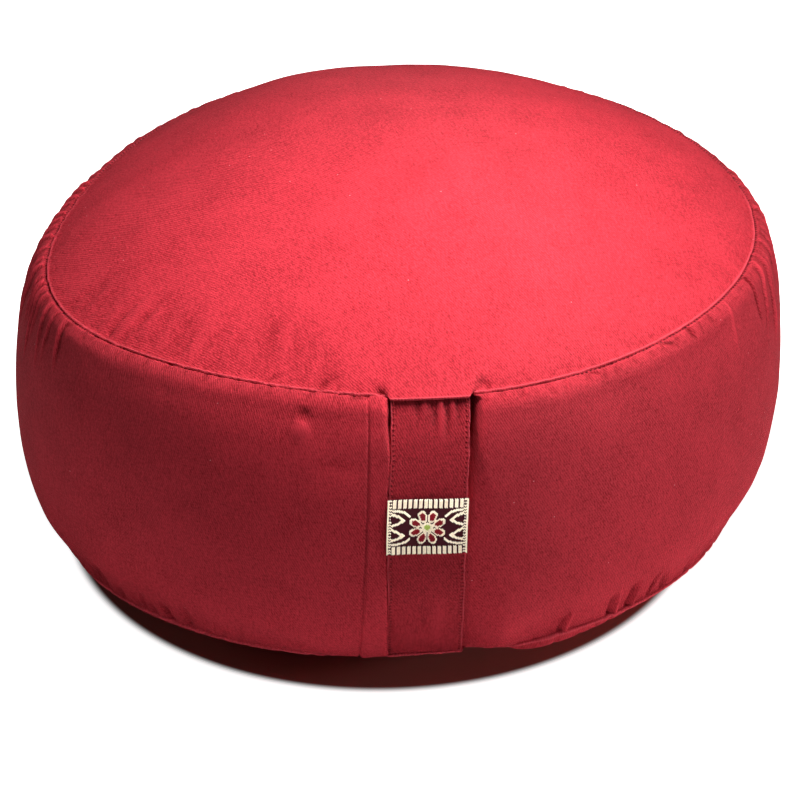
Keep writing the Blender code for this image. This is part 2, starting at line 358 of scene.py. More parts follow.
def top_seam(direction):
    return (TOP_SEAM_RADIUS + stray(TOP_SEAM_WAVES, direction),
            TOP_SEAM_HEIGHT + stray(TOP_SEAM_DIPS, direction))


def bottom_seam(direction):
    return (BOTTOM_SEAM_RADIUS + stray(BOTTOM_SEAM_WAVES, direction),
            BOTTOM_SEAM_HEIGHT + stray(BOTTOM_SEAM_DIPS, direction))


def strap_line(drop):
    """Distance out and height of the strap's inner face, from 0 at the top seam to 1 at the bottom one."""
    top_radius, top_height = top_seam(strap_direction)
    low_radius, low_height = bottom_seam(strap_direction)
    out = top_radius + (low_radius - top_radius) * drop + STRAP_BOW * np.sin(math.pi * drop)
    return out, top_height + (low_height - top_height) * drop


def strap_middle(drop):
    """How far the strap's middle line lies to the right, for it leans a little."""
    leaning = ramp(drop, 0.0, 0.5)
    return STRAP_LEAN * (1.0 - leaning) - STRAP_DRIFT * leaning


def valley_width(valley, drop):
    return valley.top_width + (valley.low_width - valley.top_width) * ramp(
        drop, valley.change_at, valley.change_over)


def strap_hold(points, drop):
    """1 behind the strap, 0 where the side band's cloth is free of it."""
    across = points @ ALONG - strap_middle(drop)
    right = across > 0
    flat_width = STRAP_WIDTH / 2 + np.where(right, RIGHT_VALLEY.flat, LEFT_VALLEY.flat)
    slope_width = np.where(right, valley_width(RIGHT_VALLEY, drop), valley_width(LEFT_VALLEY, drop))
    hold = 1.0 - ramp(np.abs(across), flat_width, slope_width)
    laid = LEFT_LAID * (1.0 - ramp(-across, STRAP_WIDTH / 2, LEFT_LAID_REACH)) * ramp(drop, 0.10, 0.14)
    hold = np.maximum(hold, laid * (across < 0))
    return np.where(points @ OUTWARD < 0, 0.0, hold)


def band_points(direction, drop):
    """Points of the side band, from drop 0 at the top seam to 1 at the bottom one."""
    top_radius, top_height = top_seam(direction)
    low_radius, low_height = bottom_seam(direction)
    widest = WIDEST_RADIUS + stray(WIDEST_WAVES, direction)
    bulge = widest - (top_radius + (low_radius - top_radius) * BAND_FULLEST)
    along = drop ** (math.log(0.5) / math.log(BAND_FULLEST))
    radius = top_radius + (low_radius - top_radius) * drop
    radius = radius + bulge * (4.0 * along * (1.0 - along)) ** BAND_FULLNESS
    height = top_height + (low_height - top_height) * drop
    places = np.broadcast_arrays(radius * np.cos(direction), radius * np.sin(direction), height)
    points = np.stack(places, axis=-1)
    held_at = strap_line(drop)[0] - STRAP_CLEARANCE
    return points + (strap_hold(points, drop) * (held_at - points @ OUTWARD))[..., None] * OUTWARD


def panel_points(direction, reach):
    """Points of the top panel, from reach 0 at its middle to 1 at its seam."""
    rim = band_points(direction, np.zeros((1, 1)))
    inwards = 1.0 - reach * reach
    roll = 1.0 - np.exp(-(1.0 - reach) * TOP_SEAM_RADIUS / SEAM_ROLL_WIDTH)
    points = rim * reach[..., None] + CROWN_SHIFT * inwards[..., None]
    points[..., 2] = (rim[..., 2] * reach * reach + TOP_SEAM_HEIGHT * inwards + SEAM_ROLL * roll
                      + (CROWN_RISE - SEAM_ROLL) * (1.0 - reach ** CROWN_ROUNDNESS))
    return points


def foot_points(direction, reach):
    """Points of the bottom panel, from its flat foot to 1 at its seam."""
    rim = band_points(direction, np.ones((1, 1)))
    points = rim * reach[..., None]
    flat = FOOT_RADIUS / BOTTOM_SEAM_RADIUS
    points[..., 2] = rim[..., 2] * np.clip((reach - flat) / (1.0 - flat), 0.0, None) ** FOOT_CURVE
    return points


# -------- the cover's net of points

# a grid of points, in rows down the cover and columns round it: for each point how far down the band it is,
# its distance along the cloth from both seams, how far it lies to the right of the line through the strap,
# and whether it is in front
Net = namedtuple("Net", "points direction drop top_row bottom_row from_top from_bottom across in_front")


def column_directions():
    turns = np.linspace(0.0, 2.0 * math.pi, COLUMNS, endpoint=False)
    once, twice = COLUMN_CROWDING
    return strap_direction + turns - once * np.sin(turns) - 0.5 * twice * np.sin(2.0 * turns)


def band_drops():
    """Rows down the side band, close together at its two seams, measured along the cloth."""
    fine = 0.5 - 0.5 * np.cos(np.linspace(0.0, math.pi, 2001))
    line = band_points(math.radians(-45.0), fine)
    length = np.concatenate(([0.0], np.cumsum(np.linalg.norm(np.diff(line, axis=0), axis=1))))
    half = graded(BAND_ROWS._replace(length=length[-1] / 2 - 1.5 * MM))
    wanted = np.concatenate((half, [length[-1] / 2], (length[-1] - half)[::-1]))
    return np.interp(wanted, length, fine)


def distance_down(points, row):
    """Distance of each point down its column, along the cloth, from one row."""
    steps = np.linalg.norm(np.diff(points, axis=0), axis=-1)
    down = np.concatenate((np.zeros((1, points.shape[1])), np.cumsum(steps, axis=0)))
    return down - down[row]


def raised_bottom_seam(points, direction, bottom_row):
    """In front the filling pushes the bottom panel out, so that its seam sits higher up the cushion."""
    along = distance_down(points, bottom_row)
    seam = points[bottom_row]
    beside = ramp(np.abs(seam @ ALONG), STRAP_WIDTH / 2, RISE_CLEAR)
    rise = swelling(BOTTOM_SEAM_RISES, direction) * np.where(seam @ OUTWARD > 0.0, beside, 1.0)
    wanted = along - rise * hump(along, RISE_REACH)
    raised = np.empty_like(points)
    for column in range(COLUMNS):
        for axis in range(3):
            raised[:, column, axis] = np.interp(wanted[:, column], along[:, column], points[:, column, axis])
    return raised


def cover_net():
    direction = column_directions()
    drop = band_drops()[:, None]
    panel_reach = 1.0 - graded(PANEL_ROWS)[::-1, None] / TOP_SEAM_RADIUS
    foot_reach = 1.0 - graded(FOOT_ROWS)[1:, None] / BOTTOM_SEAM_RADIUS
    points = np.concatenate((panel_points(direction, panel_reach), band_points(direction, drop[1:]),
                             foot_points(direction, foot_reach)))
    top_row = len(panel_reach) - 1
    bottom_row = top_row + len(drop) - 1
    all_drops = np.concatenate((np.zeros((top_row, 1)), drop, np.ones((len(foot_reach), 1))))
    points = raised_bottom_seam(points, direction, bottom_row)
    return Net(points, direction, all_drops, top_row, bottom_row, distance_down(points, top_row),
               distance_down(points, bottom_row), points @ ALONG, points @ OUTWARD > 0.0)


def outward_normals(points):
    round_way = np.roll(points, -1, axis=1) - np.roll(points, 1, axis=1)
    down_way = np.gradient(points, axis=0)
    normals = np.cross(down_way, round_way)
    return normals / np.maximum(np.linalg.norm(normals, axis=-1, keepdims=True), 1e-12)


# -------- relief of the sewn cover


def seam_lip(distance):
    """1 on the thin lip where one panel's edge is rolled over."""
    rise = ramp(distance, -LIP_REACH, LIP_REACH - LIP_CREST) * (distance <= -LIP_CREST)
    return rise + ramp(-distance, 0.0, LIP_CREST) * (distance > -LIP_CREST)


def seam_section(distance, lip_on_band, ragged):
    """Height of the cloth beside a seam. Panel side negative. The lip lies on either side of the seam, and
    the seam allowance, folded down inside the band, lifts its cloth a little."""
    front = 1.0 - lip_on_band
    lip = LIP_HEIGHT * front * seam_lip(distance) + REAR_LIP_HEIGHT * lip_on_band * seam_lip(-distance)
    groove = GROOVE.height * ragged * front * hump(distance - GROOVE.place, GROOVE.width)
    groove += REAR_GROOVE.height * lip_on_band * hump(distance - REAR_GROOVE.place, REAR_GROOVE.width)
    allowance = ALLOWANCE.height * (0.1 + 0.9 * front) * ramp(distance, ALLOWANCE.place, ALLOWANCE.width)
    allowance *= 1.0 - ramp(distance, ALLOWANCE_END, ALLOWANCE_FADE)
    return lip * (0.7 + 0.3 * ragged) - groove + allowance


def crease_height(crease, direction, away, radius, bend):
    """Height of one crease at points that lie this far away from its seam."""
    sideways = turn_from(direction, crease.towards) * radius
    lean = math.radians(crease.slant)
    onward = away - crease.start * MM
    run = sideways * math.sin(lean) + onward * math.cos(lean)
    part = run / (crease.length * MM)
    off = sideways * math.cos(lean) - onward * math.sin(lean) - bend * MM * part * part
    taper = ramp(part, -0.1, 0.2) * (1.0 - ramp(part, 0.5, 0.5))
    return crease.depth * MM * hump(off, crease.width * MM) * taper


def scattered_creases(gathers):
    """A row of like creases at uneven distances along a stretch of a seam."""
    chance = np.random.default_rng(gathers.seed)
    creases = []
    towards = gathers.start + chance.uniform(0.0, 3.0)
    while towards < gathers.end:
        creases.append(Crease(gathers.seam, gathers.side, towards, gathers.clear + chance.uniform(0.0, 1.5),
                              gathers.length * chance.uniform(0.55, 1.05), chance.uniform(*gathers.slants),
                              chance.uniform(*gathers.widths), gathers.depth * chance.uniform(0.6, 1.1)))
        towards += math.degrees(gathers.pitch * MM / TOP_SEAM_RADIUS) * chance.uniform(0.7, 1.35)
    return creases


def all_creases():
    creases = [Crease(*place, *sizes) for place, table in CREASES.items() for sizes in table]
    for gathers in PINCHED:
        for crease in scattered_creases(gathers):
            # a pinched ridge, and the hollow on the side of it that faces the front
            forward = 0.7 if gathers.end < STRAP_TOWARDS else -0.7
            creases.append(crease._replace(width=0.50 * crease.width))
            creases.append(crease._replace(towards=crease.towards + forward, width=0.75 * crease.width,
                                           depth=-0.60 * crease.depth, length=0.9 * crease.length))
    for gathers in HOLLOWS:
        creases += scattered_creases(gathers)
    return creases


def crease_relief(net):
    relief = np.zeros(net.across.shape)
    chance = np.random.default_rng(7)
    band = slice(net.top_row, net.bottom_row + 1)
    zones = {
        ("top", "panel"): (slice(0, net.top_row + 1), -net.from_top, -1.0),
        ("top", "band"): (band, net.from_top, 0.6),
        ("bottom", "band"): (band, -net.from_bottom, 0.6),
        ("bottom", "panel"): (slice(net.bottom_row, None), net.from_bottom, -1.0),
    }
    for crease in all_creases():
        rows, away, widening = zones[(crease.seam, crease.side)]
        near = np.abs(turn_from(net.direction, crease.towards)) < CREASE_REACH
        away = away[rows][:, near]
        radius = TOP_SEAM_RADIUS + widening * np.minimum(away, 25 * MM)
        bend = chance.uniform(-3.0, 3.0)
        relief[rows, near] += crease_height(crease, net.direction[near], away, radius, bend)
    return relief


def hem_relief(net):
    """The thin line of the band's overlap hem, left of the strap."""
    beside = net.across - (HEM_TOP + (HEM_LOW - HEM_TOP) * net.drop)
    fold = ramp(beside, 0.0, 1.5 * MM) * (1.0 - ramp(beside, 4.0 * MM, 6.0 * MM))
    line = HEM_LIFT * fold - HEM_LINE_DEPTH * hump(beside, 0.40 * MM)
    return np.where(net.in_front & (net.drop > 0.0) & (net.drop < 1.0), line, 0.0)


def in_plan(direction, rise=0.0):
    return np.stack((np.cos(direction), np.sin(direction), np.full_like(direction, rise)), axis=-1)


def scallops(net):
    """Where the gathers are strongest, their folds push the seam in and out as they cross it."""
    run = turn_from(net.direction, FOLDED_SEAM) * TOP_SEAM_RADIUS / MM
    zone = 1.0 - ramp(np.abs(run + 2.0), 33.0, 14.0)
    saw = ((run + 3.4 * np.sin(run / 9.0) + 1.6 * np.sin(run / 4.1)) / FOLD_PITCH) % 1.0
    push = np.where(saw < FOLD_RISE, saw / FOLD_RISE, (1.0 - saw) / (1.0 - FOLD_RISE)) - 0.5
    seam = net.points[net.top_row]
    wander = 0.12 * rolling_noise(seam, 16 * MM, 71) + 0.10 * rolling_noise(seam, 4 * MM, 73)
    amount = (0.50 * push * zone + wander) * MM * np.exp(-np.abs(net.from_top) / (5.0 * MM))
    return amount[..., None] * in_plan(net.direction, 0.45)


def shoulder_push(net):
    """Over the strap's sewn-in ends, the panels' edges lie further out, on top of its layers."""
    push = np.zeros(net.across.shape)
    for end, on_panel in ((0.0, -net.from_top), (1.0, net.from_bottom)):
        beside = np.abs(net.across - strap_middle(end)) - STRAP_WIDTH / 2
        over = 1.0 - ramp(beside, -0.3 * MM, 1.5 * MM + 1.3 * np.abs(on_panel))
        push += over * hump(on_panel, np.where(on_panel >= 0.0, SHOULDER_REACH, 0.55 * MM))
    return (np.where(net.in_front, push, 0.0) * STRAP_SHOULDER)[..., None] * OUTWARD


def low_tuck(net):
    """Low down the band goes straight in to its bottom seam, and the bottom panel bulges out under it."""
    up, under = np.maximum(-net.from_bottom, 0.0), np.maximum(net.from_bottom, 0.0)
    tuck = (1.0 - np.exp(-up / (1.7 * MM))) * (1.0 - ramp(up, 5 * MM, 22 * MM))
    tuck = tuck * (LOW_TUCK + swelling(LOW_TUCK_EASES, net.direction))
    bulge = ramp(under, 0.0, 3.6 * MM) * (1.0 - ramp(under, 3.6 * MM, 18 * MM))
    bulge = bulge * (FOOT_BULGE + swelling(FOOT_BULGES, net.direction))
    free = np.where(net.in_front, ramp(np.abs(net.across), STRAP_WIDTH / 2, 30 * MM), 1.0)[..., None]
    plan = in_plan(net.direction)
    return free * (bulge[..., None] * (0.35 * plan - UP) - tuck[..., None] * plan)


def slot_depth(net):
    """Beside the strap's top and bottom the band's cloth is tucked in deep, so a dark slot shows."""
    across = net.across - strap_middle(net.drop)
    depth = np.zeros(across.shape)
    for slot in SLOTS:
        beside = slot.side * across - STRAP_WIDTH / 2 - 0.5 * slot.width * MM
        reach = ramp(net.drop, 0.001, 0.02) * (1.0 - ramp(net.drop, 0.55 * slot.end, 0.45 * slot.end))
        depth += slot.depth * MM * hump(beside, slot.width * MM * (1.25 - net.drop / slot.end)) * reach
    return np.where(net.in_front, depth, 0.0)


def stuffing_relief(net):
    """The filling is a little lumpy under the cloth, but not at the seams."""
    lumps = sum(part.height * MM * rolling_noise(net.points, part.size * MM, part.seed) for part in FILLING)
    return lumps * ramp(np.abs(net.from_top), 0.0, 12 * MM) * ramp(np.abs(net.from_bottom), 0.0, 12 * MM)


def finished_cover(net):
    """The cover's final points, and at each of them how creased the cloth is, for its painted shade and
    highlight, and how rolled over it is, for the painted highlight on its lips.
    """
    away_from_front = np.degrees(np.abs(turn_from(net.direction, LIP_FRONT)))
    rear = ramp(away_from_front, REAR_FROM, REAR_OVER)
    ragged = 1.0 + 0.5 * rolling_noise(net.points[net.top_row], 5 * MM, 72)
    ragged = ragged * (1.0 - 0.80 * ramp(away_from_front, EVEN_FROM, EVEN_OVER))
    free = 1.0 - strap_hold(net.points, net.drop)
    crease_depth_and_shade = crease_relief(net) * free
    height = seam_section(net.from_top, rear, ragged) + seam_section(-net.from_bottom, 0.0, 1.6 * ragged)
    height += crease_depth_and_shade + hem_relief(net) + stuffing_relief(net) * free
    # painted highlight along the seams' rolled lips
    lip_highlight = (1.0 - rear) * seam_lip(net.from_top) + rear * seam_lip(-net.from_top)
    lip_highlight += seam_lip(-net.from_bottom)
    # behind, the filling has settled a little under the top seam
    sag = swelling(REAR_SAGS, net.direction) * hump(net.from_top, SAG_REACH)
    points = net.points + outward_normals(net.points) * height[..., None]
    points += scallops(net) + shoulder_push(net) + low_tuck(net)
    points -= slot_depth(net)[..., None] * OUTWARD + sag[..., None] * UP
    points[..., 2] = np.maximum(points[..., 2], 0.0)
    # how strongly the creases show in their painted shade and highlight: more high up the band
    shown = np.where(net.drop > 0.0, 1.4 - ramp(net.drop, 0.3, 0.4), 0.5) / MM
    return points, np.clip(crease_depth_and_shade * shown, -1.3, 1.3), lip_highlight


# -------- meshes


def link(item):
    bpy.context.scene.collection.objects.link(item)
    return item


def mesh_piece(name, points, faces, flat=None, material=None, edges=()):
    """An object from points, faces and the cloth's flat coordinates at each face corner."""
    mesh = bpy.data.meshes.new(name)
    mesh.from_pydata([tuple(p) for p in points], list(edges), faces)
    if flat is not None:
        layer = mesh.uv_layers.new(name="flat_cloth")
        layer.data.foreach_set("uv", np.asarray(flat, dtype=np.float32).ravel())
    if material is not None:
        mesh.materials.append(material)
    mesh.shade_smooth()
    return link(bpy.data.objects.new(name, mesh))


def mark_points(piece, name, values, kind="FLOAT"):
    """Writes one value or vector for each point of a piece."""
    layer = piece.data.attributes.new(name, kind, "POINT")
    field = "value" if kind == "FLOAT" else "vector"
    layer.data.foreach_set(field, np.asarray(values, dtype=np.float32).ravel())


def strip_faces(upper, lower):
    """Faces between two rings of corners, where one ring may have half as many as the other."""
    if len(upper) > len(lower):
        return [face[::-1] for face in strip_faces(lower, upper)]
    faces = []
    for i in range(len(upper) - 1):
        if len(upper) == len(lower):
            faces.append((upper[i], lower[i], lower[i + 1], upper[i + 1]))
        else:
            middle = lower[2 * i + 1]
            faces += [(upper[i], lower[2 * i], middle), (upper[i], middle, upper[i + 1]),
                      (upper[i + 1], middle, lower[2 * i + 2])]
    return faces


def flat_ring(net, row, columns, panel):
    """Where the points of a row lie on the flat cloth, before it was sewn."""
    columns = np.array(columns)
    once_round = columns // COLUMNS * 2.0 * math.pi
    direction = net.direction[columns % COLUMNS]
    if panel == "band":
        return list(zip((direction + once_round) * WIDEST_RADIUS, -net.from_top[row, columns % COLUMNS]))
    along, end = (-net.from_top, 0) if panel == "top" else (net.from_bottom, -1)
    whole = along[end] + np.linalg.norm(net.points[end] - net.points[end].mean(axis=0), axis=1)
    out = (TOP_SEAM_RADIUS * (1.0 - along[row] / whole))[columns % COLUMNS]
    return list(zip(out * np.cos(direction - PANEL_TURN), out * np.sin(direction - PANEL_TURN) + 1.0))


def make_cover(material):
    net = cover_net()
    points, crease_depth_and_shade, lip_highlight = finished_cover(net)
    corners, rings, painted_light = [], [], []
    for row in range(len(points)):
        away = max(-net.from_top[row, 0], net.from_bottom[row, 0], 0.0)
        columns = list(range(0, COLUMNS, 2 ** sum(away > limit for limit in COARSER_BEYOND)))
        first = len(corners)
        corners += list(points[row, columns])
        painted_light += list(zip(crease_depth_and_shade[row, columns], lip_highlight[row, columns]))
        rings.append((row, columns + [COLUMNS], list(range(first, len(corners))) + [first]))
    faces, flat = [], []
    for (row, columns, ids), (next_row, next_columns, next_ids) in zip(rings, rings[1:]):
        panel = "top" if row < net.top_row else "band" if row < net.bottom_row else "bottom"
        spots = flat_ring(net, row, columns, panel) + flat_ring(net, next_row, next_columns, panel)
        corner_of = ids + next_ids
        numbers = range(len(corner_of))
        for face in strip_faces(numbers[:len(ids)], numbers[len(ids):]):
            faces.append(tuple(corner_of[k] for k in face))
            flat += [spots[k] for k in face]
    crown = points[0].mean(axis=0) + 0.05 * MM * UP
    for (row, columns, ids), pole, panel in ((rings[0], crown, "top"), (rings[-1], np.zeros(3), "bottom")):
        corners.append(pole)
        painted_light.append((0.0, 0.0))
        around = flat_ring(net, row, columns, panel)
        for i in range(len(ids) - 1):
            a, b = (i, i + 1) if panel == "top" else (i + 1, i)
            faces.append((len(corners) - 1, ids[a], ids[b]))
            flat += [(0.0, 1.0), around[a], around[b]]
    piece = mesh_piece("filled_cover", corners, faces, flat, material)
    for name, values in zip(("crease_depth_and_shade", "edge_highlight"), zip(*painted_light)):
        mark_points(piece, name, values)
    return piece, net, points


def closed_strip(name, rows, flat_rows, material):
    """A closed piece from outlines of equal length, one after another, with its two ends filled."""
    count = len(rows[0])
    faces, flat = [], []
    for r in range(len(rows) - 1):
        for i in range(count):
            j = (i + 1) % count
            faces.append((r * count + i, (r + 1) * count + i, (r + 1) * count + j, r * count + j))
            flat += [flat_rows[r][i], flat_rows[r + 1][i], flat_rows[r + 1][j], flat_rows[r][j]]
    last = (len(rows) - 1) * count
    faces += [tuple(range(count)), tuple(range(last + count - 1, last - 1, -1))]
    flat += flat_rows[0] + flat_rows[-1][::-1]
    return mesh_piece(name, [p for row in rows for p in row], faces, flat, material)


# -------- the strap


def strap_length_at(drops):
    out, height = strap_line(drops)
    steps = np.hypot(np.diff(out), np.diff(height))
    return np.concatenate(([0.0], np.cumsum(steps)))


def strap_place(across, drop, depth):
    """A point of the strap: across from its middle line, down it, and out from its inner face."""
    out, height = strap_line(drop)
    return ALONG * (strap_middle(drop) + across) + OUTWARD * (out + depth) + UP * height


def strap_folds(across, down):
    height = 0.0 * across
    for fold in STRAP_FOLDS:
        part = (down / MM - fold.start) / fold.length
        taper = ramp(part, -0.15, 0.25) * (1.0 - ramp(part, 0.35, 0.65))
        beside = across / MM - fold.across - fold.lean * part
        height = height + fold.depth * MM * hump(beside, fold.width) * taper
    return height


def strap_relief(across, down):
    """Height of the strap's face over its plain thickness."""
    from_edge = STRAP_WIDTH / 2 - np.abs(across)
    relief = -0.30 * MM * hump(from_edge - EDGE_STITCH_INSET, 0.42 * MM)
    relief += 0.14 * MM * hump(from_edge - 0.9 * MM, 0.5 * MM)
    relief -= 1.3 * MM * (1.0 - ramp(down, 0.0, 17 * MM))
    pull = 0.5 - 0.5 * np.cos(2.0 * math.pi * down / STITCH_PITCH)
    relief += 0.10 * MM * pull * hump(from_edge - EDGE_STITCH_INSET, 0.9 * MM)
    return relief + strap_folds(across, down)


def make_strap(material):
    fine = np.linspace(*STRAP_ENDS, 1500)
    lengths = strap_length_at(fine)
    drops = np.interp(np.linspace(0.0, 1.0, STRAP_ROWS), lengths / lengths[-1], fine)
    downs = strap_length_at(drops)
    half = STRAP_WIDTH / 2
    right = [(half - edge.inset * MM, edge.depth * MM) for edge in STRAP_EDGE]
    left = [(-across, depth) for across, depth in right]
    face = np.linspace(half - 0.25 * MM, -half + 0.25 * MM, STRAP_COLUMNS)
    rows, flat_rows = [], []
    for drop, down in zip(drops, downs):
        wobble = 0.12 * MM * math.sin(down / MM * 0.31) + 0.08 * MM * math.sin(down / MM * 0.83 + 1.0)
        outline = left[:1] + right + list(zip(face, STRAP_THICKNESS + strap_relief(face, down))) + left[:0:-1]
        rows.append([strap_place(across + wobble, drop, depth) for across, depth in outline])
        flat_rows.append([(across + 0.5, -down) for across, _ in outline])
    piece = closed_strip("strap_cloth", rows, flat_rows, material)
    # painted highlight along the strap's long edges and the rims of its face
    rubbed = [edge.rubbed for edge in STRAP_EDGE]
    on_face = [FACE_RIM_HIGHLIGHT] + [0.0] * (STRAP_COLUMNS - 2) + [FACE_RIM_HIGHLIGHT]
    mark_points(piece, "edge_highlight", (rubbed[:1] + rubbed + on_face + rubbed[:0:-1]) * len(rows))
    # painted shade and highlight along the strap's folds
    crease_depth_and_shade = [[0.0] * 6 + list(strap_folds(face, down) * 1.2 / MM) + [0.0] * 4 for down in downs]
    mark_points(piece, "crease_depth_and_shade", crease_depth_and_shade)
    return piece


# -------- the woven ribbon


def ribbon_drop(across, up):
    """How far down the side band a place on the ribbon lies."""
    drops = np.linspace(RIBBON_MIDDLE - 0.2, RIBBON_MIDDLE + 0.2, 801)
    lengths = strap_length_at(drops)
    middle = np.interp(RIBBON_MIDDLE, drops, lengths)
    return np.interp(middle - up + RIBBON_TILT * across, lengths, drops)


def ribbon_face_depth(across):
    """How far the ribbon's rippled face lies out from the strap's inner face."""
    from_start = across / RIBBON_LENGTH + 0.5 + RIBBON_RIPPLE_START
    ripple = RIBBON_RIPPLE * (1.0 + np.cos(2.0 * math.pi * RIBBON_RIPPLES * from_start))
    return STRAP_THICKNESS + RIBBON_GAP + RIBBON_THICKNESS + ripple


def near_rim(place, size, width):
    """1 on the rim of a ribbon of this size, and 0 a width in from it."""
    return 1.0 - min(size / 2 - abs(place), width) / width


def make_ribbon(material):
    acrosses = np.linspace(RIBBON_LENGTH / 2, -RIBBON_LENGTH / 2, RIBBON_COLUMNS)
    rows, flat_rows = [], []
    for up in np.linspace(RIBBON_WIDTH / 2, -RIBBON_WIDTH / 2, RIBBON_ROWS):
        thin = 0.12 * MM * near_rim(up, RIBBON_WIDTH, 0.4 * MM)
        outline = [(a, ribbon_face_depth(a) - RIBBON_THICKNESS + thin) for a in acrosses[::-1]]
        outline += [(a, ribbon_face_depth(a) - thin - 0.15 * MM * near_rim(a, RIBBON_LENGTH, 0.5 * MM))
                    for a in acrosses]
        rows.append([strap_place(across, ribbon_drop(across, up), depth) for across, depth in outline])
        flat_rows.append([(across, up) for across, _ in outline])
    return closed_strip("ribbon_cloth", rows, flat_rows, material)


def line_distance(x, y, points):
    """Distance from a place to a line through points."""
    best = 1e9
    for (x0, y0), (x1, y1) in zip(points, points[1:]):
        along = ((x - x0) * (x1 - x0) + (y - y0) * (y1 - y0)) / ((x1 - x0) ** 2 + (y1 - y0) ** 2)
        along = min(1.0, max(0.0, along))
        best = min(best, math.hypot(x - x0 - along * (x1 - x0), y - y0 - along * (y1 - y0)))
    return best


def ribbon_yarn(x, y):
    """The yarn on the ribbon's face at a place in millimetres from its middle, or None on the ground."""
    side, level = abs(x), abs(y)
    if side > SELVEDGE:
        return "cream"
    if side > SIDE_BARS:
        return "cream" if (y / SIDE_BAR_PITCH) % 1.0 < 0.45 else None
    if level > END_BARS:
        return "cream" if abs(((side + 0.18) / END_BAR_PITCH) % 1.0 - 0.5) < 0.30 else None
    # an eight-petalled flower round a green eye
    reach, turn = math.hypot(x, y), math.atan2(y, x)
    if reach < FLOWER_RING:
        return "green" if reach < FLOWER_EYE else "cream"
    petal = (turn - math.pi / 8) % (math.pi / 4)
    petal = min(petal, math.pi / 4 - petal)
    onward, aside = reach * math.cos(petal) - PETAL_MIDDLE, reach * math.sin(petal)
    leaf = math.hypot(onward / PETAL_HALF_LENGTH, aside / (PETAL_HALF_WIDTH + 0.10 * onward))
    if leaf < 1.0:
        return "ruby" if leaf < PETAL_HEART else "cream"
    # two arrowheads at each side that point to the flower, and a bough from each corner
    on_arrow = min(line_distance(side, y, points) for points in ARROWS) < ARROW_HALF_WIDTH
    return "cream" if on_arrow or line_distance(side, level, BOUGH) < BOUGH_HALF_WIDTH else None


Float = namedtuple("Float", "x middle length yarn")


def ribbon_floats():
    """Short upright floats of one yarn on the ribbon's face, worked out yarn by yarn across it."""
    chance = np.random.default_rng(91)
    floats = []
    count = int(RIBBON_LENGTH / MM / FLOAT_PITCH)
    rows = int(RIBBON_WIDTH / MM / FLOAT_LENGTH)
    for i in range(count):
        x = (i - (count - 1) / 2) * FLOAT_PITCH
        for k in range(rows):
            y = (k + 0.5 * (i % 2) - (rows - 0.5) / 2) * FLOAT_LENGTH
            yarn = ribbon_yarn(x, y)
            if yarn and abs(y) < RIBBON_WIDTH / MM / 2 - 0.2:
                floats.append(Float(x, y, FLOAT_LENGTH * chance.uniform(0.95, 1.2), yarn))
    return floats


# -------- nodes


class Bench:
    """Makes the nodes of one tree. An input given as a socket is joined to it, and any other is set."""

    def __init__(self, tree):
        self.tree = tree

    def fill(self, node, inputs):
        for name, value in dict(inputs).items():
            if isinstance(value, bpy.types.NodeSocket):
                self.tree.links.new(value, node.inputs[name])
            else:
                node.inputs[name].default_value = value
        return node

    def add(self, kind, inputs=(), **settings):
        node = self.tree.nodes.new(kind)
        for name, value in settings.items():
            setattr(node, name, value)
        return self.fill(node, inputs)

    def math(self, operation, *values):
        return self.add("ShaderNodeMath", enumerate(values), operation=operation).outputs[0]

    def weighted_sum(self, *parts):
        terms = [self.math("MULTIPLY", value, weight) for value, weight in parts]
        total = terms[0]
        for term in terms[1:]:
            total = self.math("ADD", total, term)
        return total

    def remap(self, value, start, end, high=1.0, kind="LINEAR"):
        """0 up to the start, and the high value from the end on."""
        inputs = {"Value": value, "From Min": start, "From Max": end, "To Max": high}
        return self.add("ShaderNodeMapRange", inputs, interpolation_type=kind).outputs["Result"]

    def split(self, vector):
        return self.add("ShaderNodeSeparateXYZ", {0: vector}).outputs

    def mix(self, factor, first, second):
        """One colour that turns into another as the factor goes from 0 to 1."""
        first, second = ((*c, 1.0) if isinstance(c, tuple) else c for c in (first, second))
        return self.add("ShaderNodeMix", {0: factor, 6: first, 7: second}, data_type="RGBA").outputs[2]


def new_group(name, kind, inputs, outputs):
    """A node group with named sockets: its bench, what comes in, and the node that takes what goes out."""
    tree = bpy.data.node_groups.new(name, kind)
    for way, sockets in (("INPUT", inputs), ("OUTPUT", outputs)):
        for socket, value_kind in sockets.items():
            tree.interface.new_socket(name=socket, in_out=way, socket_type="NodeSocket" + value_kind)
    bench = Bench(tree)
    return bench, bench.add("NodeGroupInput").outputs, bench.add("NodeGroupOutput")


# -------- threads, by geometry nodes


def thread_tree(name, sizes):
    """A tree with these named sizes, whose threads are put in by add_threads."""
    inputs = {"Geometry": "Geometry", **{size: "Float" for size in sizes}, "Thread": "Material"}
    bench, given, last = new_group(name, "GeometryNodeTree", inputs, {"Geometry": "Geometry"})
    bench.tree.is_modifier = True
    return bench, given, last


def add_threads(bench, given, last, spots, turn, sizes, sides):
    """A short thick thread at each spot, that dips at both ends, turned and sized as given."""
    ball = bench.add("GeometryNodeMeshUVSphere", {"Segments": sides, "Rings": 5, "Radius": 0.5})
    size = bench.add("ShaderNodeCombineXYZ", enumerate(sizes))
    place = bench.add("GeometryNodeInstanceOnPoints", {
        "Points": spots, "Instance": ball.outputs["Mesh"], "Rotation": turn, "Scale": size.outputs["Vector"]})
    real = bench.add("GeometryNodeRealizeInstances", {"Geometry": place.outputs["Instances"]})
    paint = bench.add("GeometryNodeSetMaterial", {
        "Geometry": real.outputs["Geometry"], "Material": given["Thread"]})
    bench.fill(last, {"Geometry": paint.outputs["Geometry"]})
    return bench.tree


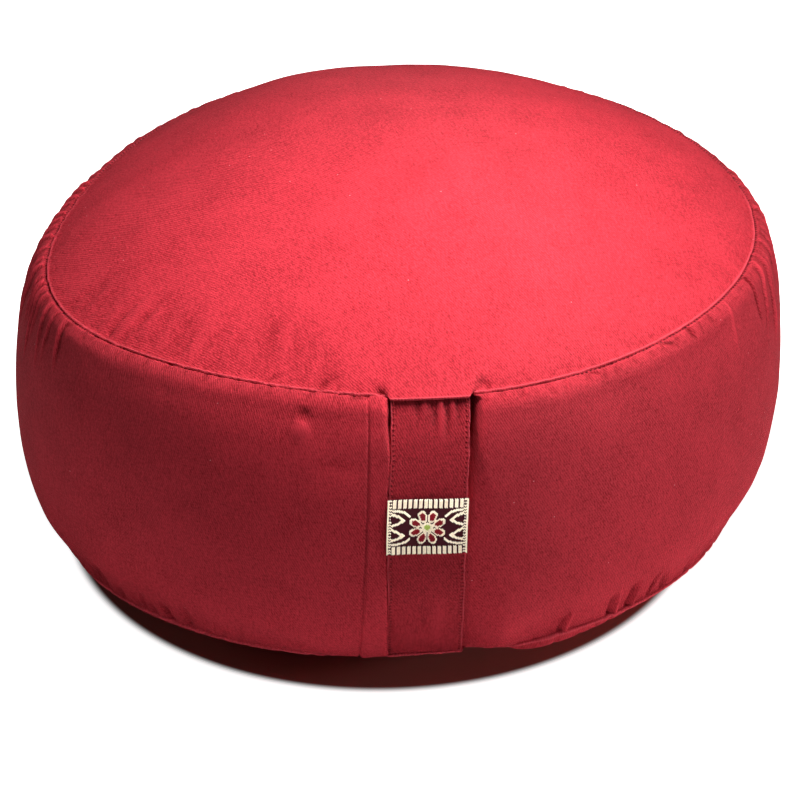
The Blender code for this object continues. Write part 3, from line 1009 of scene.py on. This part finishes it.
def stitch_tree():
    """Even stitches along a line of edges."""
    bench, given, last = thread_tree("stitch_row", ("Pitch", "Stitch length", "Thread thickness"))
    curve = bench.add("GeometryNodeMeshToCurve", {"Mesh": given["Geometry"]})
    spots = bench.add("GeometryNodeCurveToPoints", {
        "Curve": curve.outputs["Curve"], "Length": given["Pitch"]}, mode="LENGTH").outputs
    thickness = given["Thread thickness"]
    return add_threads(bench, given, last, spots["Points"], spots["Rotation"],
                       (thickness, thickness, given["Stitch length"]), 6)


def float_tree():
    """A yarn's float at each point, as long and as turned as the point's attributes say."""
    bench, given, last = thread_tree("brocade_floats", ("Yarn width", "Float height"))
    spots = bench.add("GeometryNodeMeshToPoints", {"Mesh": given["Geometry"]})
    run, turn = (bench.add("GeometryNodeInputNamedAttribute", {"Name": name}, data_type=kind)
                 for name, kind in (("run", "FLOAT"), ("turn", "FLOAT_VECTOR")))
    return add_threads(bench, given, last, spots.outputs["Points"], turn.outputs["Attribute"],
                       (given["Yarn width"], given["Float height"], run.outputs["Attribute"]), 7)


def grown_mesh(name, source, tree, values):
    """Runs a tree on a source object and keeps the result as a plain mesh piece."""
    modifier = source.modifiers.new(tree.name, "NODES")
    modifier.node_group = tree
    for item in tree.interface.items_tree:
        if item.name in values:
            modifier[item.identifier] = values[item.name]
    source.update_tag()
    settled = source.evaluated_get(bpy.context.evaluated_depsgraph_get())
    mesh = bpy.data.meshes.new_from_object(settled)
    mesh.name = name
    bpy.data.objects.remove(source)
    mesh.shade_smooth()
    return link(bpy.data.objects.new(name, mesh))


def stitch_row(name, line, tree, thread):
    source = mesh_piece(name + "_line", line, [], edges=[(i, i + 1) for i in range(len(line) - 1)])
    return grown_mesh(name, source, tree, {"Pitch": STITCH_PITCH, "Stitch length": STITCH_LENGTH,
                                           "Thread thickness": THREAD_THICKNESS, "Thread": thread})


def seam_line(points, row):
    """The line along which the needle went, beside a seam of the finished cover."""
    line = points[row] - THREAD_SUNK * outward_normals(points)[row]
    return np.vstack((line, line[:1]))


def edge_stitch_line(side):
    across = side * (STRAP_WIDTH / 2 - EDGE_STITCH_INSET)
    drops = np.linspace(0.008, 0.992, 400)
    return [strap_place(across, drop, STRAP_THICKNESS - EDGE_THREAD_SUNK) for drop in drops]


def make_floats(yarn, floats, tree, material):
    places, runs, turns = [], [], []
    for item in floats:
        if item.yarn != yarn:
            continue
        across = item.x * MM
        depth = ribbon_face_depth(across) + 0.02 * MM
        spot, upper = (strap_place(across, ribbon_drop(across, item.middle * MM + rise), depth)
                       for rise in (0.0, 0.5 * MM))
        up_way = Vector(upper - spot).normalized()
        side_way = Vector(ALONG)
        facing = up_way.cross(side_way).normalized()
        places.append(spot)
        runs.append(item.length * 1.08 * MM)
        turns.append(tuple(Matrix((side_way, facing, up_way)).transposed().to_euler("XYZ")))
    source = mesh_piece(yarn + "_places", places, [])
    mark_points(source, "run", runs)
    mark_points(source, "turn", turns, "FLOAT_VECTOR")
    return grown_mesh("ribbon_" + yarn + "_yarn", source, tree, {
        "Yarn width": FLOAT_PITCH * 1.12 * MM, "Float height": FLOAT_HEIGHT, "Thread": material})


# -------- shader groups


def half_wave(bench, value):
    """An arch over each whole step of a value."""
    return bench.math("SINE", bench.math("MULTIPLY", bench.math("FRACT", value), math.pi))


def twill_group():
    """Diagonal ribs of a twill, from flat cloth coordinates in metres: yarn floats and their height."""
    bench, given, last = new_group(
        "twill_weave", "ShaderNodeTree",
        {"Flat cloth": "Vector", "Yarn spacing": "Float", "Float length": "Float"},
        {"Height": "Float", "Yarn tone": "Float"})
    place = bench.split(given["Flat cloth"])
    yarns = bench.math("DIVIDE", place["X"], given["Yarn spacing"])
    number = bench.math("FLOOR", yarns)
    run = bench.math("DIVIDE", place["Y"], given["Float length"])
    shifted = bench.math("ADD", run, bench.math("MULTIPLY", number, TWILL_SHIFT))
    floats = bench.math("MULTIPLY", half_wave(bench, shifted), half_wave(bench, yarns))
    # smooth diagonal rib, the same without the yarns' steps, worn away in places
    smooth_run = bench.math("ADD", run, bench.math("MULTIPLY", yarns, TWILL_SHIFT))
    rib = bench.math("SINE", bench.math("MULTIPLY", smooth_run, 2.0 * math.pi))
    worn = bench.add("ShaderNodeTexNoise", {"Vector": given["Flat cloth"], "Scale": 520.0, "Detail": 1.0})
    unworn = bench.remap(worn.outputs["Fac"], 0.35, 0.65, 0.42)
    height = bench.math("ADD", floats, bench.math("MULTIPLY", rib, unworn))
    # every float has its own slight tone
    seat = bench.add("ShaderNodeCombineXYZ", {"X": number, "Y": bench.math("FLOOR", shifted)})
    tone = bench.add("ShaderNodeTexWhiteNoise", {"Vector": seat.outputs[0]}, noise_dimensions="2D")
    bench.fill(last, {"Height": height, "Yarn tone": tone.outputs["Value"]})
    return bench.tree


def slub_group():
    """Uneven yarns: short streaks both ways of the cloth, and a soft mottle over them, about 0 to 1."""
    bench, given, last = new_group("uneven_yarn", "ShaderNodeTree", {"Flat cloth": "Vector"},
                                   {"Streaks": "Float", "Mottle": "Float", "Lint": "Float"})

    def noise(stretch, scale, detail):
        turn = bench.add("ShaderNodeMapping", {"Scale": stretch, "Vector": given["Flat cloth"]})
        inputs = {"Scale": scale, "Detail": detail, "Vector": turn.outputs["Vector"]}
        return bench.add("ShaderNodeTexNoise", inputs).outputs["Fac"]

    warp, weft = noise((1.0, 0.10, 1.0), 1900.0, 1.0), noise((0.12, 1.0, 1.0), 1700.0, 1.0)
    fine, broad = noise((1.0, 1.0, 1.0), 820.0, 2.0), noise((1.0, 1.0, 1.0), 45.0, 2.0)
    inputs = {"Scale": 110.0, "Vector": given["Flat cloth"]}
    specks = bench.add("ShaderNodeTexVoronoi", inputs, voronoi_dimensions="2D")
    small = bench.math("LESS_THAN", specks.outputs["Distance"], 0.030)
    pick = bench.add("ShaderNodeSeparateColor", {0: specks.outputs["Color"]})
    chosen = bench.math("GREATER_THAN", pick.outputs[0], 0.975)
    bench.fill(last, {"Streaks": bench.math("MULTIPLY", bench.math("ADD", warp, weft), 0.5),
                      "Mottle": bench.weighted_sum((fine, 0.7), (broad, 0.3)),
                      "Lint": bench.math("MULTIPLY", small, chosen)})
    return bench.tree


def needle_group():
    """A line of needle holes beside a seam, where the stitches pull the cloth in: 1 in each hole."""
    bench, given, last = new_group(
        "needle_pits", "ShaderNodeTree",
        {"Along": "Float", "Beside": "Float", "Pitch": "Float", "Hole size": "Float"}, {"Hole": "Float"})
    stitches = bench.math("DIVIDE", given["Along"], given["Pitch"])
    inside = bench.math("SUBTRACT", bench.math("FRACT", stitches), 0.5)
    onward = bench.math("MULTIPLY", inside, given["Pitch"])
    spot = bench.add("ShaderNodeCombineXYZ", {"X": onward, "Y": given["Beside"]})
    away = bench.add("ShaderNodeVectorMath", {0: spot.outputs[0]}, operation="LENGTH").outputs["Value"]
    bench.fill(last, {"Hole": bench.remap(away, given["Hole size"], 0.20 * MM, kind="SMOOTHSTEP")})
    return bench.tree


# -------- materials


def new_material(name, inputs):
    """A material with these values on its shader, and the bench for the rest of it."""
    material = bpy.data.materials.new(name)
    material.use_nodes = True
    bench = Bench(material.node_tree)
    return material, bench, bench.fill(material.node_tree.nodes["Principled BSDF"], inputs)


def twill_material(name, dark, light, groups, edge_stitched=False):
    material, bench, shader = new_material(name, {
        "Roughness": 0.86, "Specular IOR Level": 0.03, "Sheen Weight": 0.02, "Sheen Roughness": 0.45,
        "Sheen Tint": (1.0, 0.62, 0.66, 1.0)})
    cloth = bench.add("ShaderNodeUVMap", uv_map="flat_cloth").outputs["UV"]

    def placed(group, inputs):
        return bench.add("ShaderNodeGroup", inputs, node_tree=groups[group]).outputs

    def attribute(mark):
        return bench.add("ShaderNodeAttribute", attribute_name=mark).outputs["Fac"]

    weave = placed("twill", {"Flat cloth": cloth, "Yarn spacing": YARN_SPACING, "Float length": TWILL_FLOAT})
    slub = placed("slub", {"Flat cloth": cloth})
    # tone runs from the dark grooves of the twill to its light ribs, as painted shade of the weave; the
    # creases' ridges are painted lighter, as painted highlight, and their hollows darker, as painted shade
    tone = bench.weighted_sum((weave["Height"], 0.52), (weave["Yarn tone"], 0.22), (slub["Streaks"], 0.55),
                              (slub["Mottle"], 0.98), (attribute("crease_depth_and_shade"), 0.28))
    colour = bench.mix(bench.remap(tone, 0.70, 1.38), dark, light)
    colour = bench.mix(slub["Lint"], colour, LINT)
    # painted highlight: rolled edges are painted a lighter red, where they catch the light
    colour = bench.mix(bench.math("MULTIPLY", attribute("edge_highlight"), 0.38), colour, EDGE_HIGHLIGHT_RED)
    place = bench.split(cloth)
    if edge_stitched:
        # flat coordinates of the strap: 0.5 on its middle line, and down it
        aside = bench.math("ABSOLUTE", bench.math("SUBTRACT", place["X"], 0.5))
        beside = bench.math("SUBTRACT", aside, STRAP_WIDTH / 2 - EDGE_STITCH_INSET)
        along, pitch, hole_size = place["Y"], STITCH_PITCH, 0.60 * MM
    else:
        # flat coordinates of the band: round it, and 0 on its top seam
        beside = bench.math("ADD", place["Y"], 0.50 * MM)
        along, pitch, hole_size = place["X"], STITCH_PITCH * WIDEST_RADIUS / TOP_SEAM_RADIUS, 0.95 * MM
    hole = placed("needle", {
        "Along": along, "Beside": beside, "Pitch": pitch, "Hole size": hole_size})["Hole"]
    # painted shade: each needle hole is painted near black
    colour = bench.mix(bench.math("MULTIPLY", hole, 0.8), colour, NEEDLE_HOLE_SHADE)
    height = bench.math("SUBTRACT", weave["Height"], bench.math("MULTIPLY", hole, 2.0))
    bump = bench.add("ShaderNodeBump", {"Strength": 1.0, "Distance": 0.42 * MM, "Height": height})
    bench.fill(shader, {"Base Color": colour, "Normal": bump.outputs["Normal"]})
    return material


def yarn_material(name, colour, roughness):
    return new_material(name, {"Base Color": (*colour, 1.0), "Roughness": roughness,
                               "Specular IOR Level": 0.12})[0]


# -------- stage


def make_floor():
    """Pale paper that glows away from the cushion and glows whiter still to the camera, with painted shade
    close round the cushion's foot.
    """
    corners = [(x * FLOOR_HALF, y * FLOOR_HALF, 0.0) for x, y in ((-1, -1), (1, -1), (1, 1), (-1, 1))]
    material, bench, shader = new_material("pale_floor", {
        "Roughness": 0.95, "Specular IOR Level": 0.0, "Emission Strength": 1.0})
    place = bench.add("ShaderNodeTexCoord").outputs["Object"]
    off = bench.add("ShaderNodeVectorMath", {0: place, 1: SHADE_MIDDLE}, operation="SUBTRACT")
    away = bench.add("ShaderNodeVectorMath", {0: off.outputs["Vector"]}, operation="LENGTH").outputs["Value"]
    seen = bench.add("ShaderNodeLightPath").outputs["Is Camera Ray"]

    def rising(start, end, value):
        return bench.remap(away, start, end, value, "SMOOTHSTEP")

    # the floor's glow, a painted light that also lights the cushion, and its white glow seen by the camera
    # only
    glow = bench.math("SUBTRACT", rising(0.155, 0.24, FLOOR_GLOW), rising(0.34, 0.60, 0.3 * FLOOR_GLOW))
    white = bench.math("MULTIPLY", rising(0.1478, 0.1530, PAPER_WHITE), seen)
    light = bench.math("ADD", glow, white)
    # it is painted in deep shade close round the cushion's foot, with a painted red cast from the cloth
    paper = rising(0.1470, 0.1535, PAPER_COLOUR)
    shaded = [bench.math("MAXIMUM", paper, shade) for shade in PAINTED_SHADE_COLOUR]
    for socket, channels in (("Emission Color", [light] * 3), ("Base Color", shaded)):
        colour = bench.add("ShaderNodeCombineColor", enumerate(channels)).outputs["Color"]
        bench.fill(shader, {socket: colour})
    mesh_piece("pale_floor", corners, [(0, 1, 2, 3)], material=material)


def make_lights():
    for light in SOFT_LIGHTS:
        lamp = bpy.data.lights.new(light.name, "AREA")
        lamp.shape = "DISK" if light.width == light.length else "ELLIPSE"
        lamp.size, lamp.size_y = light.width, light.length
        lamp.energy = light.watts
        item = link(bpy.data.objects.new(light.name, lamp))
        item.location = light.place
        item.rotation_euler = (Vector(light.target) - Vector(light.place)).to_track_quat("-Z", "Y").to_euler()
    world = bpy.data.worlds.new("studio")
    bpy.context.scene.world = world
    world.use_nodes = True
    Bench(world.node_tree).fill(world.node_tree.nodes["Background"], {
        "Color": (1.0, 1.0, 1.0, 1.0), "Strength": SKY_STRENGTH})
    bpy.context.scene.view_settings.view_transform = "Standard"


def make_camera():
    camera = bpy.data.cameras.new("camera")
    camera.lens = CAMERA_LENS
    camera.sensor_width = 36.0
    item = link(bpy.data.objects.new("camera", camera))
    item.location = CAMERA_PLACE
    look = Vector(CAMERA_LOOK).normalized()
    right = look.cross(Vector(CAMERA_UP)).normalized()
    item.rotation_euler = Matrix((right, right.cross(look), -look)).transposed().to_euler()
    bpy.context.scene.camera = item


def main():
    groups = {"twill": twill_group(), "slub": slub_group(), "needle": needle_group()}
    red = twill_material("red_twill", RED_DARK, RED_LIGHT, groups)
    strap_red = twill_material("strap_twill", STRAP_DARK, STRAP_LIGHT, groups, edge_stitched=True)
    thread = yarn_material("red_thread", THREAD_RED, 0.7)
    ground = yarn_material("plum_ribbon_ground", PLUM_GROUND, 0.9)
    brocade = {name: yarn_material(name + "_yarn", colour, roughness) for name, colour, roughness in BROCADE}

    cover, net, points = make_cover(red)
    strap = make_strap(strap_red)
    ribbon = make_ribbon(ground)
    stitches = stitch_tree()
    loose = []
    for name, line, slot in (
            ("top_seam_thread", seam_line(points, net.top_row + 1), "red_twill"),
            ("bottom_seam_thread", seam_line(points, net.bottom_row - 1), "red_twill"),
            ("strap_edge_thread_left", edge_stitch_line(-1.0), "strap_twill"),
            ("strap_edge_thread_right", edge_stitch_line(1.0), "strap_twill")):
        loose.append((stitch_row(name, line, stitches, thread), slot))
    floats, floats_tree = ribbon_floats(), float_tree()
    for yarn, material in brocade.items():
        loose.append((make_floats(yarn, floats, floats_tree, material), "woven_ribbon"))

    for piece, node, slot in ((cover, "cushion", "red_twill"), (strap, "carry_strap", "strap_twill"),
                              (ribbon, "ribbon_patch", "woven_ribbon")):
        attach(piece, "root")
        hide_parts(node)
    for piece, slot in loose:
        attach(piece, "root")
    make_floor()
    make_lights()
    make_camera()


main()
